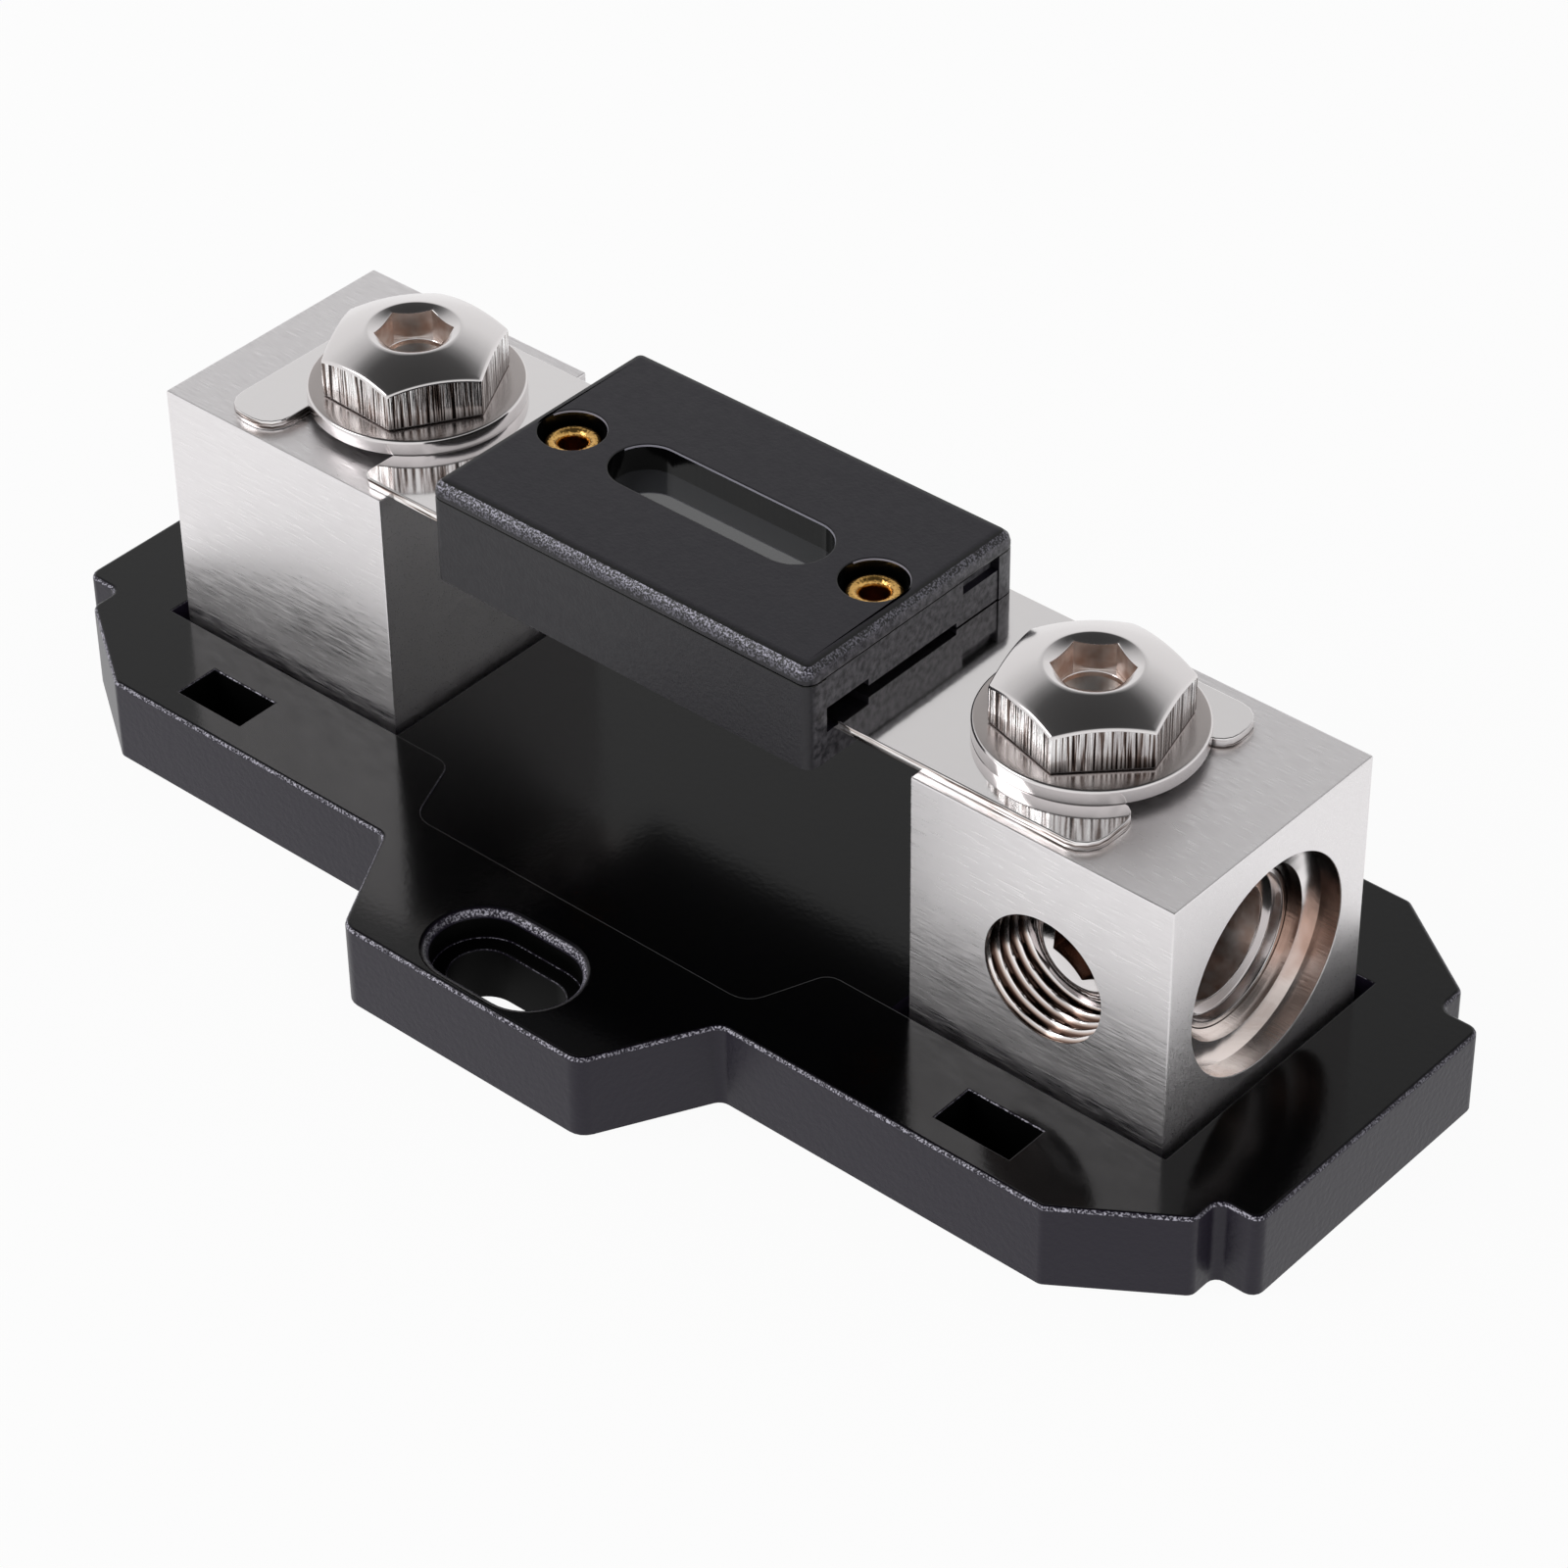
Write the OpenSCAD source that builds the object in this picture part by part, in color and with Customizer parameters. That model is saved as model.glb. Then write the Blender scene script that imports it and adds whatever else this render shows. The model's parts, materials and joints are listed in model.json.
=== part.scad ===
// Fuse holder for a bolt-down strip fuse: moulded base, two nickel plated terminal blocks,
// the fuse itself and the screws that clamp the fuse and the cables.
// Millimetres, +Z up. The origin is the middle of the underside of the base,
// +X runs along the fuse and the cables enter at both ends.

/* [Base plate] */
// Length over the end tongues
base_len = 110.8; // [100:0.2:130]
// Width of the plate without its ears
base_w = 41.1; // [38:0.1:50]
// Height of the plate
base_h = 6.85; // [6:0.05:9]
// Width of each end tongue
tongue_w = 25; // [20:0.5:28]
// How far each tongue stands out of the end of the plate
tongue_out = 3.3; // [2:0.1:5]
// Length of the cut corners, along the plate
cut_len = 8.3; // [6:0.1:10]
// Width of the cut corners, across the plate
cut_w = 5.6; // [4:0.1:7]
// Thickness of the outer wall, seen from below
wall_t = 2; // [1.6:0.1:2.4]
// Thickness of the top skin
skin_t = 2.4; // [2:0.1:3]
// Thickness of the ribs under the skin
rib_t = 1.4; // [1.2:0.1:1.8]
// Distance from rib to rib
rib_pitch = 9.8; // [8.5:0.1:10.5]

/* [Mounting ears] */
// How far each ear stands out of the long side
ear_out = 9.05; // [9:0.05:12]
// Width of an ear where it leaves the plate
ear_root_w = 32; // [28:0.5:36]
// Width of an ear at its outer edge
ear_tip_w = 22.2; // [19:0.2:26]
// Width of the screw slot
slot_w = 4.9; // [4.3:0.1:5.3]
// Length of the screw slot, end to end
slot_len = 9.5; // [8:0.1:12]
// Step between the slot and the recess for the screw head
slot_step = 1.2; // [1:0.1:1.4]
// Depth of the recess for the screw head
slot_sink = 2.5; // [1.5:0.1:3]
// Middle of the slot to the outer edge of the ear
slot_edge = 4.75; // [4.6:0.05:5.2]

/* [Cover latch windows] */
// Length of a window, along the plate
latch_len = 6.4; // [5:0.1:8]
// Width of a window, across the plate
latch_w = 3.65; // [3:0.05:3.9]
// Middle of the plate to the middle of a window, along the plate
latch_x = 36.1; // [34:0.1:40]
// Outer edge of a window to the side of the plate
latch_edge = 2.25; // [2:0.05:3]

/* [Terminal blocks] */
// Length of a block
block_len = 21.8; // [21:0.1:24]
// Width of a block
block_w = 21.5; // [19:0.1:24]
// Height of a block
block_h = 22.2; // [21.5:0.1:26]
// Distance between the blocks
block_gap = 48.8; // [46:0.1:52]
// Depth of the seat of a block in the plate
seat_depth = 2.45; // [1.8:0.05:2.6]
// Gap between a block and the wall of its seat
seat_gap = 0.9; // [0.4:0.05:1.2]
// Thickness of the floor that a block stands on
floor_t = 1.6; // [1.2:0.1:1.8]
// Depth of the fine step in the upper face of the plate
step_depth = 0.2; // [0.1:0.05:0.4]
// Width of the stepped area between the blocks
step_w = 35.2; // [30:0.1:37]
// Length of the stepped area between the blocks
step_len = 33.8; // [28:0.1:38]

/* [Cable entries] */
// Diameter of the entry that takes the cable's sheath
entry_d = 16.4; // [15:0.1:17]
// Depth of the entry
entry_depth = 1.7; // [1:0.1:2.5]
// Diameter of the mouth inside the entry
mouth_d = 13.1; // [12.8:0.1:14]
// Depth of the cone between the entry and the mouth
cone_depth = 0.35; // [0.2:0.05:0.6]
// Depth of the mouth
mouth_depth = 0.8; // [0.5:0.1:1.2]
// Diameter of the cable bore
cable_d = 12; // [10.9:0.1:12.4]
// Wall between the end of the bore and the inner face of the block
bore_end_wall = 4.3; // [3:0.1:5]

/* [Cable reducers] */
// Diameter of the bore of a reducer
reducer_d = 8.6; // [7:0.1:9]
// Diameter of the step at the mouth of a reducer
reducer_step_d = 10.9; // [10:0.1:10.9]
// Depth of that step
reducer_step = 0.9; // [0.5:0.1:1.5]
// Running clearance of a reducer in its bore, on the radius
reducer_clear = 0.05; // [0.03:0.01:0.1]
// How far the hole for the set screw reaches past the axis of a reducer
reducer_reach = 2.4; // [2.2:0.1:3]

/* [Cable set screws] */
// Thread diameter
set_d = 9.8; // [8:0.1:9.8]
// Length of a set screw
set_len = 6; // [5:0.1:6]
// Depth of the outer end of a set screw in its hole
set_sink = 4.1; // [2:0.1:4.3]
// Axis of a set screw to the outer face of the block
set_inset = 10.4; // [9:0.1:12]
// Width across the flats of the key socket
set_key = 5; // [4:0.1:5]
// Depth of the key socket
set_key_depth = 3; // [2:0.1:3.5]
// Running clearance of the screws in their holes, on the radius
thread_clear = 0.05; // [0.03:0.01:0.1]

/* [Fuse bolts] */
// Distance between the bolts
bolt_span = 62; // [60:0.1:64]
// Thread diameter
bolt_d = 7.9; // [6:0.1:8]
// Width across the flats of the head
head_af = 12; // [11:0.1:13]
// Height of the head at its corners
head_side = 3; // [2.5:0.1:4]
// Radius of the dome on the head
dome_r = 13.5; // [12:0.1:20]
// Width across the flats of the key socket
bolt_key = 5; // [4:0.1:5.5]
// Depth of the key socket
bolt_key_depth = 2.5; // [2.2:0.1:3]
// Diameter of the drilled hole below the key socket
bolt_pilot_d = 4.7; // [4:0.1:4.9]
// Depth of that hole
bolt_pilot = 0.4; // [0.2:0.1:0.8]
// Diameter of the chamfer round the key socket
key_rim_d = 6.7; // [6.5:0.1:7]
// Gap between the end of a bolt and the cable bore
bolt_end_gap = 0.4; // [0.3:0.1:1]
// Turn of the key socket against the head
key_turn = -10; // [-30:1:30]
// Turn of the left bolt's head
turn_left = -2.5; // [-30:0.5:30]
// Turn of the right bolt's head
turn_right = -15; // [-30:0.5:30]
// Diameter of a washer
washer_d = 16; // [15:0.1:18]
// Thickness of a washer
washer_t = 1.2; // [1:0.1:1.6]
// Gap between a bolt and its washer, on the radius
washer_clear = 0.3; // [0.2:0.05:0.5]

/* [Fuse strip] */
// Thickness of the strip
strip_t = 0.8; // [0.6:0.1:1.5]
// Width of the strip
strip_w = 19; // [17:0.1:20]
// Middle of the fuse to the end of the left blade
left_reach = 40.8; // [39.5:0.1:41]
// Middle of the fuse to the end of the right blade
right_reach = 38.9; // [38:0.1:40]
// Width of the bolt slots in the blades
blade_slot = 9; // [8.8:0.1:9.4]
// Place of the left slot's middle beyond the left bolt
left_slot_off = 0.4; // [0:0.1:0.4]
// Radius of the corners of the blades
blade_r = 2; // [1:0.1:2.2]
// Width of the narrow link in the case
link_w = 5; // [3:0.1:8]
// Length of the narrow link
link_len = 11; // [8:0.1:14]
// Place of the fuse along the holder
fuse_x = -0.2; // [-0.4:0.1:0.4]
// Place of the strip across the holder
fuse_y = -0.5; // [-0.5:0.1:0.5]

/* [Fuse case] */
// Length of the case
case_len = 34.6; // [33:0.1:36]
// Width of the case
case_w = 21.6; // [21:0.1:23]
// Height of the case above the strip
case_up = 5.1; // [4.5:0.1:6.5]
// Height of the case below the strip
case_down = 2.4; // [2.2:0.1:4]
// Place of the case's middle in front of the strip's middle
case_off = 1.1; // [0:0.1:1.1]
// Thickness of the side and end walls
case_wall = 1.8; // [1.5:0.1:2]
// Thickness of the tray's floor
tray_floor = 1.2; // [1:0.1:1.4]
// Thickness of the lid at the parting line
lid_t = 1.4; // [1.2:0.1:1.8]
// Thickness of the lid where the window hangs
lid_roof = 2.1; // [1.9:0.1:2.4]
// Radius of the lid's upper edge
lid_r = 1; // [0.6:0.1:1.2]
// Radius of the case's corners
case_r = 0.9; // [0.5:0.1:1.5]
// Gap between the strip and the middle of the lid's end walls
end_gap = 0.5; // [0.3:0.05:0.7]
// Extra gap at one end of an end wall
end_notch = 0.6; // [0.4:0.1:1]
// Gap between the strip and the foot at the other end of an end wall
foot_gap = 0.1; // [0.05:0.05:0.2]
// Length of the middle of an end wall
end_tab = 9.2; // [7:0.1:10]
// How far the end walls stand back below the lid's rim
end_inset = 0.1; // [0.05:0.05:0.2]
// Length of the clip pocket in each end wall
clip_len = 3.7; // [3:0.1:4]
// Height of the clip pocket
clip_h = 1.2; // [0.8:0.1:1.4]
// Depth of the clip pocket
clip_deep = 0.6; // [0.4:0.1:0.9]
// Fit between the lid and the tray
lid_fit = 0.05; // [0.05:0.01:0.15]
// Length of the sight slot
sight_len = 19; // [17:0.1:20]
// Width of the sight slot
sight_w = 5.3; // [4.6:0.1:6]
// Thickness of the clear window
window_t = 0.9; // [0.7:0.1:1.1]
// Edge of the window that laps under the lid
window_lap = 1.2; // [0.8:0.1:1.4]

/* [Fuse rivets] */
// Distance between the rivets
rivet_span = 27.6; // [27:0.1:28]
// Diameter of a rivet's barrel
rivet_d = 3; // [2.6:0.1:3.2]
// Bore of a rivet
rivet_bore = 2; // [1.6:0.1:2.2]
// Diameter of the rolled head
rivet_head_d = 4.2; // [3.8:0.1:4.4]
// Diameter of the recess over a rivet
rivet_recess_d = 4.9; // [4.7:0.1:5.2]
// Depth of the recess over a rivet
rivet_recess = 1.9; // [1.6:0.1:2]

/* [Block screws] */
// Thread diameter
fix_d = 4; // [3.5:0.1:4]
// Diameter of the head
fix_head_d = 7.4; // [6.5:0.1:7.4]
// Height of the head
fix_head_h = 2.1; // [1.8:0.1:2.2]
// Length of thread in the block
fix_grip = 4.2; // [3:0.1:4.3]
// Distance between the two screws of a block
fix_span = 11; // [10:0.5:12]
// Gap round the screws and their heads
fix_clear = 0.2; // [0.15:0.05:0.3]

/* [Hidden] */

// Facets of a full circle and of one rounded corner
$fn = 64;
corner_steps = 4;
edge_steps = 3;
// Overlap that lets a cut run clear of a face
past = 1;

plate_end = base_len / 2 - tongue_out;
plate_side = base_w / 2;
block_z = base_h - seat_depth;
block_top = block_z + block_h;
block_in = block_gap / 2;
block_out = block_in + block_len;
block_mid = block_in + block_len / 2;
cable_z = block_z + block_h / 2;
bolt_x = bolt_span / 2;
set_x = block_out - set_inset;
strip_top = block_top + strip_t;
washer_top = strip_top + washer_t;
bolt_tip = cable_z + cable_d / 2 + bolt_end_gap;
ear_edge = plate_side + ear_out;
slot_y = ear_edge - slot_edge;
latch_y = plate_side - latch_edge - latch_w / 2;
mouth_z = entry_depth + cone_depth;
reducer_front = mouth_z + mouth_depth;
case_bottom = block_top - case_down;
case_top = strip_top + case_up;
parting = case_top - lid_t;
case_y = fuse_y - case_off;
window_top = case_top - lid_roof;
rivet_seat = case_top - rivet_recess;
tray_in_w = case_w - 2 * case_wall;

function xy(c) = [c[0], c[1]];
function unit(v) = v / norm(v);
function left_of(v) = [-v[1], v[0]];
function turned(v, a) = [v[0] * cos(a) - v[1] * sin(a), v[0] * sin(a) + v[1] * cos(a)];

// Arc points of corner i of an anticlockwise list of [x, y, radius], moved inwards by d.
// An outward corner loses d from its radius and an inward corner gains it.
function corner_arc(c, i, d) =
    let (n = len(c),
        p = xy(c[i]),
        a = unit(p - xy(c[(i + n - 1) % n])),
        b = unit(xy(c[(i + 1) % n]) - p),
        side = sign(cross(a, b)),
        bend = acos(a * b),
        q = p + d * (left_of(a) + left_of(b)) / (1 + a * b),
        r = max(c[i][2] - side * d, 0.1),
        start = q - a * r * tan(bend / 2),
        centre = start + side * r * left_of(a))
    [for (k = [0 : corner_steps])
        centre + turned(-side * r * left_of(a), side * bend * k / corner_steps)];

function rounded(c, d = 0) = [for (i = [0 : len(c) - 1]) each corner_arc(c, i, d)];

// Corners of one quarter of the plate, from the tongue to the ear
quarter = [
    [plate_end + tongue_out, tongue_w / 2, 0.9],
    [plate_end, tongue_w / 2, 0.8],
    [plate_end, plate_side - cut_w, 0.8],
    [plate_end - cut_len, plate_side, 0.8],
    [ear_root_w / 2, plate_side, 1],
    [ear_tip_w / 2, ear_edge, 1.6]];
last = len(quarter) - 1;
plate_corners = concat(
    [for (i = [0 : last]) quarter[i]],
    [for (i = [0 : last]) [-quarter[last - i][0], quarter[last - i][1], quarter[last - i][2]]],
    [for (i = [0 : last]) [-quarter[i][0], -quarter[i][1], quarter[i][2]]],
    [for (i = [0 : last]) [quarter[last - i][0], -quarter[last - i][1], quarter[last - i][2]]]);

function box_corners(l, w, r) = [[l / 2, -w / 2, r], [l / 2, w / 2, r], [-l / 2, w / 2, r], [-l / 2, -w / 2, r]];

// A slab of the given outline from z = 0 up to h, with a quarter round of radius r on its upper edge
module rounded_slab(corners, h, r) {
    n = len(rounded(corners));
    turns = [for (k = [0 : edge_steps]) 90 * k / edge_steps];
    levels = concat([[0, 0]], [for (t = turns) [r * (1 - cos(t)), h - r + r * sin(t)]]);
    top = len(levels) - 1;
    polyhedron(
        points = [for (s = levels) each [for (p = rounded(corners, s[0])) [p[0], p[1], s[1]]]],
        faces = concat(
            [[for (i = [0 : n - 1]) i]],
            [for (k = [0 : top - 1]) for (i = [0 : n - 1])
                [k * n + i, (k + 1) * n + i, (k + 1) * n + (i + 1) % n, k * n + (i + 1) % n]],
            [[for (i = [n - 1 : -1 : 0]) top * n + i]]));
}

module slot_shape(len, w, h) {
    linear_extrude(h)
        union() {
            square([len - w, w], center = true);
            for (s = [-1, 1])
                translate([s * (len - w) / 2, 0])
                    circle(d = w);
        }
}

module box_at(x0, x1, y0, y1, z0, z1) {
    translate([x0, y0, z0])
        cube([x1 - x0, y1 - y0, z1 - z0]);
}

module hex_prism(af, h) {
    cylinder(d = af / cos(30), h = h, $fn = 6);
}

// Both ends or both sides of the holder are the same, half a turn apart
module both_ends() {
    for (a = [0, 180])
        rotate(a)
            children();
}

module at_side(side) {
    rotate(side < 0 ? 180 : 0)
        children();
}

module block_screw_places() {
    for (s = [-1, 1])
        translate([block_mid + s * fix_span / 2, 0])
            children();
}

// Everything below the skin that stays solid: bosses round the screws, slots and windows
module solid_under_skin(h) {
    both_ends() {
        block_screw_places()
            cylinder(d = fix_head_d + 2 * (fix_clear + rib_t), h = h);
        translate([0, slot_y])
            slot_shape(slot_len + 2 * (slot_step + rib_t), slot_w + 2 * (slot_step + rib_t), h);
        for (s = [-1, 1])
            box_at(latch_x - latch_len / 2 - rib_t, latch_x + latch_len / 2 + rib_t,
                s * latch_y - latch_w / 2 - rib_t, s * latch_y + latch_w / 2 + rib_t, 0, h);
    }
}

// Hollow cells between the ribs, open at the bottom and h deep
module cells(h) {
    columns = ceil(plate_end / rib_pitch);
    rows = ceil(ear_edge / rib_pitch);
    difference() {
        intersection() {
            translate([0, 0, -past])
                linear_extrude(h + past)
                    polygon(rounded(plate_corners, wall_t));
            union()
                for (i = [-columns : columns - 1])
                    for (j = [-rows : rows - 1])
                        box_at(i * rib_pitch + rib_t / 2, (i + 1) * rib_pitch - rib_t / 2,
                            j * rib_pitch + rib_t / 2, (j + 1) * rib_pitch - rib_t / 2, -past, h);
        }
        translate([0, 0, -2 * past])
            solid_under_skin(h + 3 * past);
    }
}

// Footprint of a block's seat, grown by g on every side
module seat(g, z0, z1) {
    both_ends()
        box_at(block_in - g, block_out + g, -block_w / 2 - g, block_w / 2 + g, z0, z1);
}

module base() {
    seat_under = block_z - floor_t;
    step_corners = [
        [block_out + seat_gap, -block_w / 2 - seat_gap, 0.3],
        [block_out + seat_gap, block_w / 2 + seat_gap, 0.3],
        [step_len / 2 + 1.2, block_w / 2 + seat_gap, 1.4],
        [step_len / 2 - 1.2, step_w / 2, 2],
        [-step_len / 2 + 1.2, step_w / 2, 2],
        [-step_len / 2 - 1.2, block_w / 2 + seat_gap, 1.4],
        [-block_out - seat_gap, block_w / 2 + seat_gap, 0.3],
        [-block_out - seat_gap, -block_w / 2 - seat_gap, 0.3],
        [-step_len / 2 - 1.2, -block_w / 2 - seat_gap, 1.4],
        [-step_len / 2 + 1.2, -step_w / 2, 2],
        [step_len / 2 - 1.2, -step_w / 2, 2],
        [step_len / 2 + 1.2, -block_w / 2 - seat_gap, 1.4]];
    color([0.13, 0.13, 0.14])
        difference() {
            linear_extrude(base_h)
                polygon(rounded(plate_corners));
            // Fine step in the upper face, from seat to seat
            translate([0, 0, base_h - step_depth])
                linear_extrude(step_depth + past)
                    polygon(rounded(step_corners));
            seat(seat_gap, block_z, base_h + past);
            // Hollow underside, shallower below the seats
            intersection() {
                cells(base_h - skin_t);
                union() {
                    difference() {
                        box_at(-base_len, base_len, -base_w, base_w, -2 * past, base_h);
                        seat(seat_gap + rib_t, -3 * past, base_h + past);
                    }
                    box_at(-base_len, base_len, -base_w, base_w, -2 * past, seat_under);
                }
            }
            both_ends() {
                translate([0, slot_y, -past])
                    slot_shape(slot_len, slot_w, base_h + 2 * past);
                translate([0, slot_y, base_h - slot_sink])
                    slot_shape(slot_len + 2 * slot_step, slot_w + 2 * slot_step, slot_sink + past);
                for (s = [-1, 1])
                    box_at(latch_x - latch_len / 2, latch_x + latch_len / 2,
                        s * latch_y - latch_w / 2, s * latch_y + latch_w / 2, -past, base_h + past);
                block_screw_places() {
                    translate([0, 0, -past])
                        cylinder(d = fix_d + 2 * fix_clear, h = block_z + 1.5 * past);
                    translate([0, 0, -past])
                        cylinder(d = fix_head_d + 2 * fix_clear, h = seat_under + past);
                }
            }
        }
}

// The right block; the left one is the same part turned half round
module terminal_block(side) {
    color([0.78, 0.77, 0.78])
        at_side(side)
            difference() {
                box_at(block_in, block_out, -block_w / 2, block_w / 2, block_z, block_top);
                // Stepped cable entry in the outer face
                translate([block_out, 0, cable_z])
                    rotate([0, -90, 0]) {
                        translate([0, 0, -past])
                            cylinder(d = entry_d, h = entry_depth + past);
                        translate([0, 0, entry_depth])
                            cylinder(d1 = entry_d, d2 = mouth_d, h = cone_depth);
                        cylinder(d = mouth_d, h = reducer_front);
                        cylinder(d = cable_d, h = block_len - bore_end_wall);
                    }
                // Set screw hole in the front face, into the cable bore
                translate([set_x, 0, cable_z])
                    rotate([90, 0, 0])
                        cylinder(d = set_d, h = block_w / 2 + past);
                // Bolt hole in the upper face, into the cable bore
                translate([bolt_x, 0, cable_z])
                    cylinder(d = bolt_d + 2 * thread_clear, h = block_top - cable_z + past);
                // Blind holes for the screws from below
                block_screw_places()
                    translate([0, 0, block_z - past])
                        cylinder(d = fix_d + 2 * thread_clear, h = fix_grip + fix_clear + past);
            }
}

// Turned sleeve that narrows the cable bore, with a hole that lets the set screw through
module cable_reducer(side) {
    color([0.8, 0.79, 0.8])
        at_side(side)
            difference() {
                translate([block_out, 0, cable_z])
                    rotate([0, -90, 0])
                        difference() {
                            translate([0, 0, reducer_front])
                                cylinder(d = cable_d - 2 * reducer_clear, h = block_len - bore_end_wall - reducer_front);
                            translate([0, 0, reducer_front - past])
                                cylinder(d = reducer_step_d, h = reducer_step + past);
                            cylinder(d = reducer_d, h = block_len);
                        }
                translate([set_x, reducer_reach, cable_z])
                    rotate([90, 0, 0])
                        cylinder(d = set_d + 2 * thread_clear, h = block_w / 2);
            }
}

module cable_set_screw(side) {
    color([0.7, 0.69, 0.69])
        at_side(side)
            translate([set_x, set_sink - block_w / 2, cable_z])
                rotate([-90, 0, 0])
                    difference() {
                        union() {
                            cylinder(d1 = set_d - 2, d2 = set_d - 2 * thread_clear, h = 1);
                            translate([0, 0, 1])
                                cylinder(d = set_d - 2 * thread_clear, h = set_len - 2);
                            translate([0, 0, set_len - 1])
                                cylinder(d1 = set_d - 2 * thread_clear, d2 = set_d - 2.4, h = 1);
                        }
                        translate([0, 0, -past])
                            rotate(30)
                                hex_prism(set_key, set_key_depth + past);
                        translate([0, 0, -0.01])
                            cylinder(d1 = set_key / cos(30) + 0.8, d2 = set_key / cos(30) - 0.6, h = 0.5);
                    }
}

// Hexagon bolt with a domed head and a key socket
module fuse_bolt(side, turn) {
    head_r = head_af / 2 / cos(30);
    dome_z = washer_top + head_side - sqrt(dome_r * dome_r - head_r * head_r);
    rim_z = dome_z + sqrt(dome_r * dome_r - key_rim_d * key_rim_d / 4);
    rim_depth = (key_rim_d - bolt_key) / 4;
    pilot_z = rim_z - bolt_key_depth - bolt_pilot;
    drill_tip = bolt_pilot_d / 2 * tan(31);
    color([0.75, 0.74, 0.75])
        translate([side * bolt_x, 0, 0])
            difference() {
                union() {
                    intersection() {
                        translate([0, 0, washer_top])
                            rotate(turn)
                                hex_prism(head_af, dome_r);
                        translate([0, 0, dome_z])
                            sphere(r = dome_r);
                    }
                    translate([0, 0, bolt_tip])
                        cylinder(d = bolt_d, h = washer_top - bolt_tip + 0.5);
                }
                translate([0, 0, rim_z - bolt_key_depth])
                    rotate(turn + key_turn)
                        hex_prism(bolt_key, bolt_key_depth + 2 * past);
                translate([0, 0, rim_z - rim_depth])
                    cylinder(d1 = bolt_key, d2 = key_rim_d, h = rim_depth);
                translate([0, 0, rim_z])
                    cylinder(d = key_rim_d, h = past);
                translate([0, 0, pilot_z])
                    cylinder(d = bolt_pilot_d, h = bolt_pilot + past);
                translate([0, 0, pilot_z - drill_tip])
                    cylinder(d1 = 0, d2 = bolt_pilot_d, h = drill_tip);
            }
}

module bolt_washer(side) {
    color([0.74, 0.73, 0.74])
        translate([side * bolt_x, 0, strip_top])
            difference() {
                cylinder(d = washer_d, h = washer_t);
                translate([0, 0, -past])
                    cylinder(d = bolt_d + 2 * washer_clear, h = washer_t + 2 * past);
            }
}

// One stamped strip: a fork blade to the right, a side slot in the left blade and a link between
module fuse_strip() {
    // The slots lie round the bolts, whose axis is off the middle of the strip
    slot_r = blade_slot / 2 - 0.01;
    axis = -fuse_y;
    right_slot = bolt_x - fuse_x - blade_slot / 2;
    left_slot = -bolt_x - left_slot_off - fuse_x;
    corners = [
        [right_reach, -strip_w / 2, blade_r],
        [right_reach, axis - blade_slot / 2, blade_r * 0.8],
        [right_slot, axis - blade_slot / 2, slot_r],
        [right_slot, axis + blade_slot / 2, slot_r],
        [right_reach, axis + blade_slot / 2, blade_r * 0.8],
        [right_reach, strip_w / 2, blade_r],
        [link_len / 2 + 2, strip_w / 2, 0.8],
        [link_len / 2, link_w / 2, 0.8],
        [-link_len / 2, link_w / 2, 0.8],
        [-link_len / 2 - 2, strip_w / 2, 0.8],
        [-left_reach, strip_w / 2, blade_r],
        [-left_reach, -strip_w / 2, blade_r],
        [left_slot - blade_slot / 2, -strip_w / 2, blade_r],
        [left_slot - blade_slot / 2, axis + blade_slot / 2, slot_r],
        [left_slot + blade_slot / 2, axis + blade_slot / 2, slot_r],
        [left_slot + blade_slot / 2, -strip_w / 2, 0.9],
        [-link_len / 2 - 2, -strip_w / 2, 0.8],
        [-link_len / 2, -link_w / 2, 0.8],
        [link_len / 2, -link_w / 2, 0.8],
        [link_len / 2 + 2, -strip_w / 2, 0.8]];
    color([0.82, 0.81, 0.82])
        translate([0, 0, block_top])
            difference() {
                translate([fuse_x, fuse_y, 0])
                    linear_extrude(strip_t)
                        polygon(rounded(corners));
                rivet_places()
                    translate([0, 0, -past])
                        cylinder(d = rivet_d + 2 * lid_fit, h = strip_t + 2 * past);
            }
}

module rivet_places() {
    for (s = [-1, 1])
        translate([fuse_x + s * rivet_span / 2, case_y])
            children();
}

// Lower half of the case: floor, long side walls and low end walls under the strip
module fuse_tray() {
    half = case_len / 2;
    color([0.14, 0.14, 0.15])
        difference() {
            translate([fuse_x, case_y, 0])
                difference() {
                    union() {
                        difference() {
                            translate([0, 0, case_bottom])
                                linear_extrude(parting - case_bottom)
                                    polygon(rounded(box_corners(case_len, case_w, case_r)));
                            box_at(-half + case_wall, half - case_wall, -tray_in_w / 2, tray_in_w / 2,
                                case_bottom + tray_floor, parting + past);
                        }
                        for (s = [-1, 1])
                            translate([s * rivet_span / 2, 0, case_bottom])
                                cylinder(d = rivet_head_d + 2, h = case_down);
                    }
                    // Open ends for the lid's end walls and for the strip
                    for (s = [-1, 1])
                        translate([s * (half - case_wall / 2), 0, 0])
                            box_at(-case_wall, case_wall, -tray_in_w / 2, tray_in_w / 2,
                                block_top, parting + past);
                }
            translate([fuse_x, fuse_y, block_top])
                linear_extrude(strip_t + lid_fit)
                    square([case_len + 2 * past, strip_w + 2 * lid_fit], center = true);
            rivet_places() {
                translate([0, 0, case_bottom - past])
                    cylinder(d = rivet_d + 2 * lid_fit, h = case_down + 2 * past);
                translate([0, 0, case_bottom - past])
                    cylinder(d = rivet_recess_d, h = past + (case_down - tray_floor));
            }
        }
}

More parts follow.
